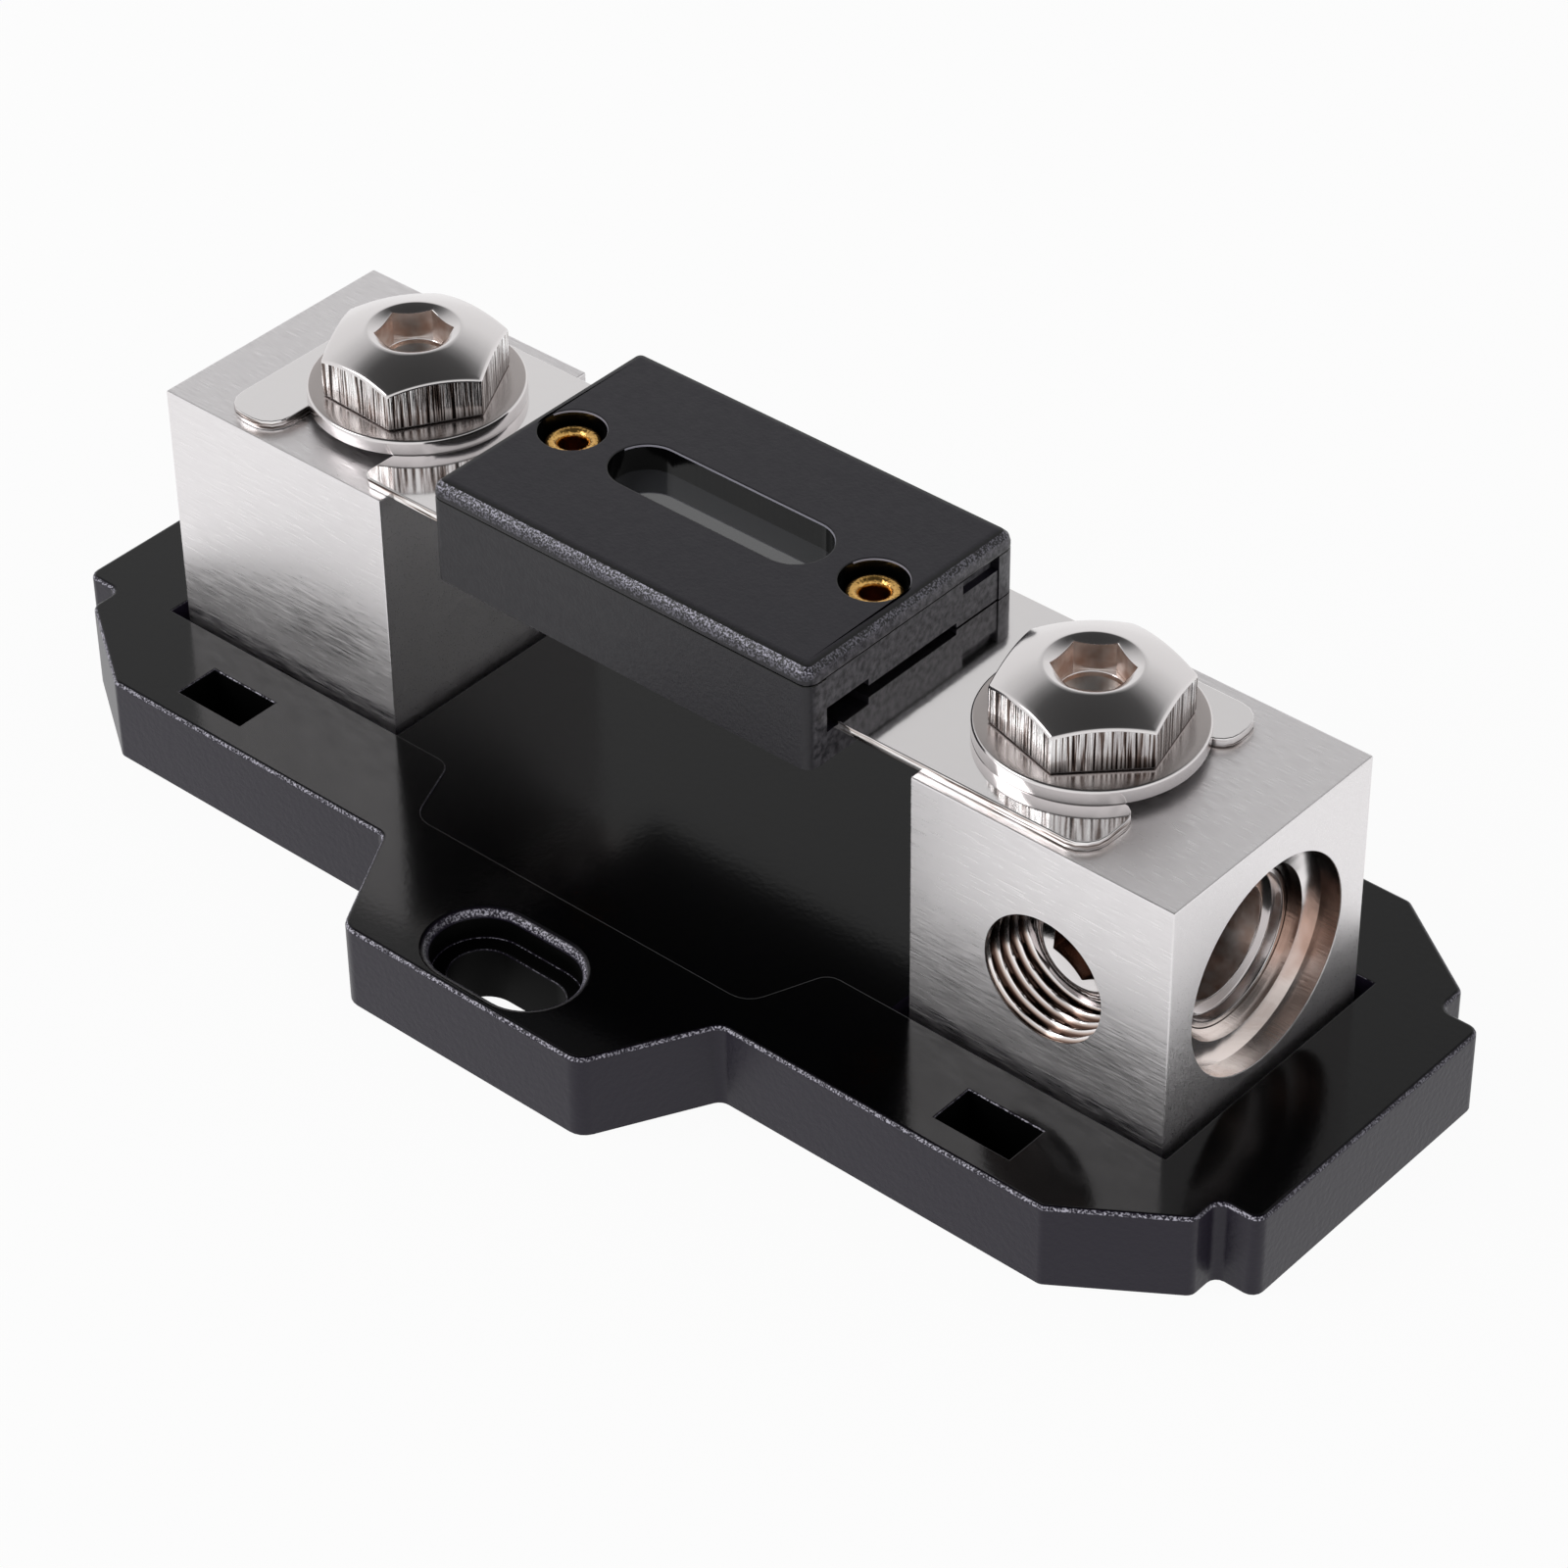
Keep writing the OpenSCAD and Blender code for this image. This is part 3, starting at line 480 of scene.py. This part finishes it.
def shell(cad, name):
    """A half of the case with softened rims, glossy walls in the sight slot and the rivet recesses, and a
    painted highlight on the rims there that face the front.
    """
    bm = merged_copy(cad)
    round_off(bm, 0.1, 2, lambda m, n: level_edge(PARTING, m, n))
    round_off(bm, 0.17, 2, lambda m, n: level_edge(CASE_TOP, m, n))
    bm.normal_update()
    wall, rim = 1, 2
    for f in bm.faces:
        c = f.calc_center_median() / MM
        seam = abs(c.z - PARTING) < 0.13 and abs(f.normal.z) > 0.15
        inner = abs(c.y - CASE_Y) < CASE_ZONE_Y and abs(c.x - CASE_X) < CASE_ZONE_X
        if seam or (abs(f.normal.z) < 0.3 and inner):
            f.material_index = wall
        # Upper rims of the slot and recesses: those facing the front take the painted highlight, the rest the
        # glossy wall
        elif inner and f.normal.z < 0.9 and c.z > CASE_TOP - 0.2:
            f.material_index = rim if f.normal.y < -0.25 else wall
    piece(name, bm, [FINISHES["case_plastic"], wall_finish, rim_highlight_finish], cad)


rounded_base()
rounded_strip()
shell("fuse_lid", "case_lid")
shell("fuse_tray", "case_tray")

# ------------------------------------------------- turned, headed and threaded pieces


def lofted(name, rings, way, loop=False):
    """A closed mesh through m rings of n points (mm), joined point by point, laid in place by a matrix.

    Each end closes in a fan to the middle of its ring. With loop the last ring joins the first one instead.
    """
    m, n, _ = rings.shape
    points = rings.reshape(-1, 3)
    i, j = np.meshgrid(np.arange(m if loop else m - 1), np.arange(n), indexing="ij")
    here, there = i * n, (i + 1) % m * n
    quads = np.stack([here + j, here + (j + 1) % n, there + (j + 1) % n, there + j], -1).reshape(-1, 4)
    faces = quads.tolist()
    if not loop:
        k = np.arange(n)
        points = np.vstack([points, rings[0].mean(0), rings[-1].mean(0)])
        faces += np.stack([np.full(n, m * n), (k + 1) % n, k], -1).tolist()
        last = (m - 1) * n
        faces += np.stack([np.full(n, m * n + 1), last + k, last + (k + 1) % n], -1).tolist()
    mesh = bpy.data.meshes.new(name)
    mesh.from_pydata(points * MM, [], faces)
    bm = bmesh.new()
    bm.from_mesh(mesh)
    bmesh.ops.recalc_face_normals(bm, faces=bm.faces)
    bm.to_mesh(mesh)
    bm.free()
    mesh.transform(way)
    return mesh


# Directions round a screw, in degrees of one sixth turn: closer together at the corners of head and sockets
near_corner = np.array([-5.5, -3.5, -2, -1.1, -0.5, 0, 0.5, 1.1, 2, 3.5, 5.5])
between = [8, 12, 16, 20, 39, 42]
sector = np.unique(np.concatenate([near_corner % 60, near_corner + (60 + BOLT_KEY_TURN),
                                   near_corner + SET_KEY_TURN, between]))
ROUND = np.radians((np.arange(6)[:, None] * 60 + sector).ravel())
# Rows of faces in a socket's mesh: wall and floor of the drilled hole, and flats
SOCKET_ROWS = (0, 1, 4, 5, 6)


def hexagon(af, corner_at):
    """Radius of a hexagon with lightly rounded corners in each direction of ROUND.

    The three nearest flats are blended by a power mean, which only shortens the radius at the corners.
    """
    off = (np.degrees(ROUND) - corner_at) % 60 - 30
    flats = [af / 2 / np.maximum(np.cos(np.radians(off - 60 * k)), 1e-3) for k in (-1, 0, 1)]
    return sum(f ** -200.0 for f in flats) ** (-1 / 200)


def brown_socket(mesh):
    """Gives the flats and the drilled hole of a key socket the second finish; they are known by their rows.

    The last two rows are the fans at both ends, and the first of them is the drill point.
    """
    row = np.arange(len(mesh.polygons)) // len(ROUND)
    inner = np.isin(row, (*SOCKET_ROWS, row.max() - 1))
    mesh.polygons.foreach_set("material_index", inner.astype(np.int32))
    return mesh


def ring(radius, z):
    """One ring of points round the axis; radius and height may vary with direction."""
    r, z = radius + 0 * ROUND, z + 0 * ROUND
    return np.stack([r * np.cos(ROUND), r * np.sin(ROUND), z], -1)


def corner(a, b, c, steps=4):
    """Rings of a rounded edge from a to c bending at b, each (radius, height): a quadratic curve."""
    rings = []
    for t in np.linspace(0, 1, steps + 1):
        w = ((1 - t) ** 2, 2 * t * (1 - t), t * t)
        rings.append(ring(*(sum(k * p[i] for k, p in zip(w, (a, b, c))) for i in (0, 1))))
    return rings


def groove(turn, steep):
    """Share of a thread's depth at a part of its pitch: a soft V, 0 on the flat crest and 1 in the root."""
    return np.clip(steep * (1 - abs(2 * turn - 1)) - 0.15, 0, 1)


def thread(radius, depth, pitch, low, high, step=0.12):
    """Rings of a right-handed thread from high down to low: the groove climbs one pitch per turn.

    The groove fades out over the first and last half pitch, so the ends stay round.
    """
    rings = []
    for z in np.linspace(high, low, int((high - low) / step) + 1):
        turn = (z / pitch - ROUND / (2 * np.pi)) % 1
        fade = min(1, 2 * (high - z) / pitch, 2 * (z - low) / pitch)
        rings.append(ring(radius - depth * groove(turn, 1.35) * fade, z))
    return rings


def socket(corner_at, face, rim_r, deep, pilot):
    """Rings of a key socket, from the drill point up through the flats to the chamfered rim at height face."""
    wall = hexagon(KEY_AF, corner_at)
    chamfer = face - (rim_r - wall) * 0.5
    foot = face - deep
    point_r, soft = 0.3, 0.05
    rings = [ring(point_r, foot - pilot - (KEY_DRILL_R - point_r) * 0.6), ring(KEY_DRILL_R, foot - pilot)]
    rings += [ring(KEY_DRILL_R, foot - 0.05), ring(KEY_DRILL_R + 0.04, foot)]
    rings += [ring(wall - 0.03, foot), ring(wall, foot + 0.04), ring(wall, foot + deep / 2)]
    rings += corner((wall, chamfer - soft), (wall, chamfer), (wall + soft, chamfer + soft / 2), 2)
    return rings + [ring(rim_r - 0.06, face - 0.03)]


def fuse_bolt(name, side, turn):
    """A domed hexagon bolt: key socket, dome (part of a sphere), rounded crown edge, flats, threaded shank."""
    dome_r, af, side_h, rim_r = 13.5, 12.0, 3.0, 3.35
    shank_r, thread_deep, pitch = 3.95, 0.5, 1.25
    head_r = af / 2 / np.cos(np.radians(30))
    dome_z = WASHER_TOP + side_h - np.sqrt(dome_r ** 2 - head_r ** 2)

    def dome(r):
        return dome_z + np.sqrt(dome_r ** 2 - r ** 2)

    head = hexagon(af, 0)
    soft = 0.2
    rings = socket(BOLT_KEY_TURN, dome(rim_r), rim_r, 2.5, 0.4)
    for share in (0.02, 0.1, 0.22, 0.36, 0.5, 0.64, 0.78, 0.9):
        r = rim_r + share * (head - soft - rim_r)
        rings.append(ring(r, dome(r)))
    rings += corner((head - soft, dome(head - soft)), (head, dome(head)), (head, dome(head) - soft))
    rings += [ring(head, WASHER_TOP + 1.2), ring(head, WASHER_TOP + 0.2)]
    rings += [ring(head - 0.05, WASHER_TOP + 0.1), ring(head - 0.3, WASHER_TOP), ring(4.1, WASHER_TOP)]
    rings += [ring(shank_r, WASHER_TOP - 0.05), ring(shank_r, WASHER_TOP - 0.5)]
    rings += thread(shank_r, thread_deep, pitch, BOLT_TIP + 0.5, WASHER_TOP - 0.6)
    rings += [ring(3.4, BOLT_TIP), ring(1.0, BOLT_TIP)]
    way = Matrix.Translation((side * BOLT_X * MM, 0, 0)) @ Matrix.Rotation(np.radians(turn), 4, "Z")
    mesh = brown_socket(lofted("bolt_" + name, np.array(rings), way))
    place("bolt_" + name, mesh, "bolt_" + name, [FINISHES["plated_steel"], socket_finish],
          "fuse_bolt_" + name)


def washer(name, side):
    """A flat washer with rolled edges: one closed loop of rings, out over the top and back below."""
    low, high, hole, rim, soft = STRIP_TOP, WASHER_TOP, 4.25, 8.0, 0.22
    rings = corner((hole, high - 0.15), (hole, high), (hole + 0.15, high), 3)
    rings += [ring(r, high) for r in (5.0, 6.2, 7.2)]
    rings += corner((rim - soft, high), (rim, high), (rim, high - soft * 1.2))
    rings += corner((rim, low + 0.12), (rim, low), (rim - 0.12, low), 3)
    rings += [ring(r, low) for r in (7.0, 5.5, hole)]
    mesh = lofted("washer_" + name, np.array(rings), Matrix.Translation((side * BOLT_X * MM, 0, 0)), loop=True)
    place("washer_" + name, mesh, "washer_" + name, [turned_finish], "bolt_washer_" + name)


def half_turn(side):
    """The matrix from the right side of the object to the side asked for, 1 right and -1 left."""
    return Matrix.Rotation(0 if side > 0 else np.pi, 4, "Z")


def set_screw(name, side):
    """A socket set screw: key socket, flat face, chamfer, thread and cup point, laid along the side hole."""
    r, rim_r, pitch = SET_R - 0.05, 3.3, 1.0
    rings = socket(SET_KEY_TURN, 0, rim_r, 3.0, 0.3)
    rings += [ring(rim_r, 0), ring(3.8, 0)] + corner((3.85, 0), (3.95, 0), (4.05, -0.12), 2)
    rings += [ring(r - 0.1, -0.85), ring(r, -1.0)]
    rings += thread(r, 0.45, pitch, 1.05 - SET_LEN, -1.05)
    rings += [ring(3.75, 0.05 - SET_LEN), ring(3.6, -SET_LEN), ring(3.3, -SET_LEN), ring(1.0, 1 - SET_LEN)]
    # The screw's axis points to the front, its face behind the mouth of the hole
    along = Matrix(((1, 0, 0, SET_X * MM), (0, 0, -1, (SET_SINK - BLOCK_HALF) * MM),
                    (0, 1, 0, CABLE_Z * MM), (0, 0, 0, 1)))
    mesh = brown_socket(lofted("set_screw_" + name, np.array(rings), half_turn(side) @ along))
    place("set_screw_" + name, mesh, "set_screw_" + name, [turned_finish, bore_finish],
          "cable_set_screw_" + name)


def hole_thread():
    """Points (mm), quads and groove shares of the thread in the right block's side hole, cut outwards.

    Rows run from the mouth to the curved wall of the cable bore, where each direction ends at its own depth:
    half width less the root of bore radius squared minus height squared. The groove climbs one pitch per turn.
    """
    turns = np.linspace(0, 2 * np.pi, 160, endpoint=False)
    end = BLOCK_HALF - np.sqrt(CABLE_R ** 2 - (SET_R * np.sin(turns)) ** 2)
    depth = np.concatenate([[0.06], np.linspace(0.14, 4.6, 60)])[:, None] * np.ones_like(turns)
    depth = np.minimum(np.vstack([depth, end[None, :]]), end)
    fade = np.clip((depth - 0.1) / 0.35, 0, 1) * np.clip((4.7 - depth) / 0.3, 0, 1)
    share = groove((depth - turns / (2 * np.pi)) % 1, 1.3) * fade
    r = SET_R - 0.008 + 0.5 * share
    points = np.stack([SET_X + r * np.cos(turns), depth - BLOCK_HALF, CABLE_Z + r * np.sin(turns)], -1)
    rows, n = depth.shape
    i, j = np.meshgrid(np.arange(rows - 1), np.arange(n), indexing="ij")
    here, there, after = i * n, (i + 1) * n, (j + 1) % n
    quads = np.stack([here + j, there + j, there + after, here + after], -1).reshape(-1, 4)
    return points.reshape(-1, 3), quads, share.ravel()


def machined_block(name, side):
    """A terminal block with broken edges, thin plating with painted shade in its bores and real turns in the
    side hole.

    The left block is turned to the right one's place for the work and back again.
    """
    cad = "terminal_block_" + name
    bm = merged_copy(cad)
    bmesh.ops.transform(bm, matrix=half_turn(side), verts=bm.verts)
    bm.normal_update()

    def on_box(m):
        """On how many of the block's outer faces a point lies."""
        return sum((abs(m.x - BLOCK_OUT) < FACE_NEAR, abs(m.x - BLOCK_IN) < FACE_NEAR,
                    abs(abs(m.y) - BLOCK_HALF) < FACE_NEAR, abs(m.z - BLOCK_TOP) < FACE_NEAR))

    def in_entry(m):
        return BLOCK_IN + 1 < m.x < BLOCK_OUT - 0.1 and np.hypot(m.y, m.z - CABLE_Z) < ENTRY_R + BORE_NEAR

    def at_mouth(m, n):
        return (on_box(m) == 1 and abs(m.x - BLOCK_OUT) < FACE_NEAR
                and np.hypot(m.y, m.z - CABLE_Z) < ENTRY_R + 0.8)

    def in_side_hole(f, middle):
        far = [np.hypot(v.co.x / MM - SET_X, v.co.z / MM - CABLE_Z) - SET_R for v in f.verts]
        return max(map(abs, far)) < BORE_NEAR and middle.y < -2 and abs(f.normal.y) < 0.2

    round_off(bm, 0.14, 2, lambda m, n: on_box(m) > 1)
    round_off(bm, 0.08, 2, at_mouth)
    bm.normal_update()
    bored, threaded = 1, 2
    plain_wall = []
    for f in bm.faces:
        c = f.calc_center_median() / MM
        if in_side_hole(f, c):
            plain_wall.append(f)
        elif in_entry(c):
            f.material_index = threaded if abs(f.normal.x) > 0.9 else bored
    bmesh.ops.delete(bm, geom=plain_wall, context="FACES_ONLY")
    points, quads, shares = hole_thread()
    root = bm.verts.layers.float.new("root")
    verts = [bm.verts.new(p) for p in points * MM]
    for v, share in zip(verts, shares):
        v[root] = share
    for q in quads:
        face = bm.faces.new([verts[k] for k in q])
        face.material_index = threaded
    bm.normal_update()
    bmesh.ops.transform(bm, matrix=half_turn(side), verts=bm.verts)
    piece("block_" + name, bm, [FINISHES["plated_block"], bore_finish, thread_finish], cad)


def turned_sleeve(name):
    """A cable reducer with broken edges at its stepped mouth."""
    bm = merged_copy("cable_reducer_" + name)
    mouth_from = 40
    round_off(bm, 0.12, 2, lambda m, n: max(abs(k.x) for k in n) > 0.9 and abs(m.x) > mouth_from)
    bored = 1
    for f in bm.faces:
        c = f.calc_center_median() / MM
        if abs(f.normal.x) < 0.1 and np.hypot(c.y, c.z - CABLE_Z) < SLEEVE_R:
            f.material_index = bored
    piece("sleeve_" + name, bm, [turned_finish, socket_finish], "cable_reducer_" + name)


# Each side with its sign along X and the turn of its bolt's head in degrees, as in the photograph
for word, sign, head_turn in (("left", -1, -2.5), ("right", 1, -15)):
    fuse_bolt(word, sign, head_turn)
    washer(word, sign)
    set_screw(word, sign)
    machined_block(word, sign)
    turned_sleeve(word)

# ------------------------------------------------- studio

WHITE = (1, 1, 1, 1)
# Share of the floor's look that is plain white: as seen, where it keeps a faint shadow, and in reflections
SEEN_GLOW, MIRRORED_GLOW = 0.95, 0.97
# Half the patch under the base where the floor doesn't glow: a painted shadow, so that its windows look down
# into the dark
PAINTED_SHADOW_PATCH = (("X", 43.5), ("Y", 20.2))
# Brightness of the room against the sine of the height above the horizon
ROOM_LEVELS = ((0.0, 0.95), (0.45, 0.88), (0.62, 0.68), (0.71, 0.52), (0.79, 0.22), (0.86, 0.07), (1.0, 0.05))

bpy.ops.mesh.primitive_plane_add(size=6, location=(0, 0, -0.05 * MM))
floor = bpy.context.object
floor.name = "floor"
m, t, s = finish_of("floor_paper", "#e6e6e6", Roughness=0.9)
seen = add(t, "ShaderNodeLightPath").outputs
direct = add(t, "ShaderNodeMath", {0: seen["Is Camera Ray"], 1: SEEN_GLOW}, operation="MULTIPLY")
mirrored = add(t, "ShaderNodeMath", {0: seen["Is Glossy Ray"], 1: MIRRORED_GLOW}, operation="MULTIPLY")
either = add(t, "ShaderNodeMath", {0: direct, 1: mirrored}, operation="MAXIMUM")
# No glow under the base: the painted shadow
spot = add(t, "ShaderNodeSeparateXYZ", {"Vector": add(t, "ShaderNodeTexCoord").outputs["Object"]})
outside = []
for axis, half in PAINTED_SHADOW_PATCH:
    away = add(t, "ShaderNodeMath", {0: spot.outputs[axis]}, operation="ABSOLUTE")
    outside.append(add(t, "ShaderNodeMath", {0: away, 1: half * MM}, operation="GREATER_THAN"))
clear = add(t, "ShaderNodeMath", {0: outside[0], 1: outside[1]}, operation="MAXIMUM")
share = add(t, "ShaderNodeMath", {0: either, 1: clear}, operation="MULTIPLY")
glow = add(t, "ShaderNodeEmission", Color=WHITE, Strength=1.0)
feed(t.nodes["Material Output"], {"Surface": add(t, "ShaderNodeMixShader", {0: share, 1: s, 2: glow})})
dress(floor, m)

# The room is bright round the horizon and dark overhead, so that domes turn dark towards the viewer
world = bpy.data.worlds.new("studio")
bpy.context.scene.world = world
world.use_nodes = True
t = world.node_tree
t.nodes.clear()
seen = add(t, "ShaderNodeLightPath").outputs
way = add(t, "ShaderNodeSeparateXYZ", {"Vector": add(t, "ShaderNodeTexCoord").outputs["Generated"]})
ramp = add(t, "ShaderNodeValToRGB", {"Fac": way.outputs["Z"]})
for sine, _ in ROOM_LEVELS[1:-1]:
    ramp.color_ramp.elements.new(sine)
for stop, (_, level) in zip(ramp.color_ramp.elements, ROOM_LEVELS):
    stop.color = (level, level, level, 1)
room = add(t, "ShaderNodeBackground", {"Color": ramp}, Strength=1.0)
backdrop = add(t, "ShaderNodeBackground", Color=WHITE, Strength=1.0)
mix = add(t, "ShaderNodeMixShader", {0: seen["Is Camera Ray"], 1: room, 2: backdrop})
add(t, "ShaderNodeOutputWorld", {"Surface": mix})

# One soft lamp at the front left, in metres and watts
LAMP_AT, LAMP_AIM, LAMP_SIDE, LAMP_WATTS = Vector((-0.42, -0.48, 0.5)), Vector((0, 0, 0.015)), 0.4, 1.4
lamp = bpy.data.lights.new("front_left_box", "AREA")
lamp.size, lamp.energy = LAMP_SIDE, LAMP_WATTS
box = bpy.data.objects.new("front_left_box", lamp)
bpy.context.scene.collection.objects.link(box)
box.location = LAMP_AT
box.rotation_mode = "QUATERNION"
box.rotation_quaternion = (LAMP_AIM - LAMP_AT).to_track_quat("-Z", "Y")

# ------------------------------------------------- camera

# Solved from the photograph: direction, roll and distance in degrees and millimetres
AZIMUTH, ELEVATION, ROLL = np.radians([41.442, 38.174, -0.719])
DISTANCE, ACROSS, UP = 366.67, 2.833, 5.647
FOCAL_PIXELS, PICTURE_PIXELS, SENSOR = 5156.391, 1600, 36.0

flat_part = np.cos(ELEVATION)
back = np.array([np.sin(AZIMUTH) * flat_part, -np.cos(AZIMUTH) * flat_part, np.sin(ELEVATION)])
level = np.array([np.cos(AZIMUTH), np.sin(AZIMUTH), 0])
upward = np.cross(back, level)
right = np.cos(ROLL) * level + np.sin(ROLL) * upward
top = -np.sin(ROLL) * level + np.cos(ROLL) * upward
eye = (back * DISTANCE + right * ACROSS + top * UP) * MM
lens = bpy.data.cameras.new("camera")
lens.sensor_width = SENSOR
lens.lens = SENSOR * FOCAL_PIXELS / PICTURE_PIXELS
lens.clip_start, lens.clip_end = 0.01, 20
camera = bpy.data.objects.new("camera", lens)
bpy.context.scene.collection.objects.link(camera)
camera.matrix_world = Matrix([[right[i], top[i], back[i], eye[i]] for i in range(3)] + [[0, 0, 0, 1]])
bpy.context.scene.camera = camera
bpy.context.scene.view_settings.view_transform = "Standard"

note_size()
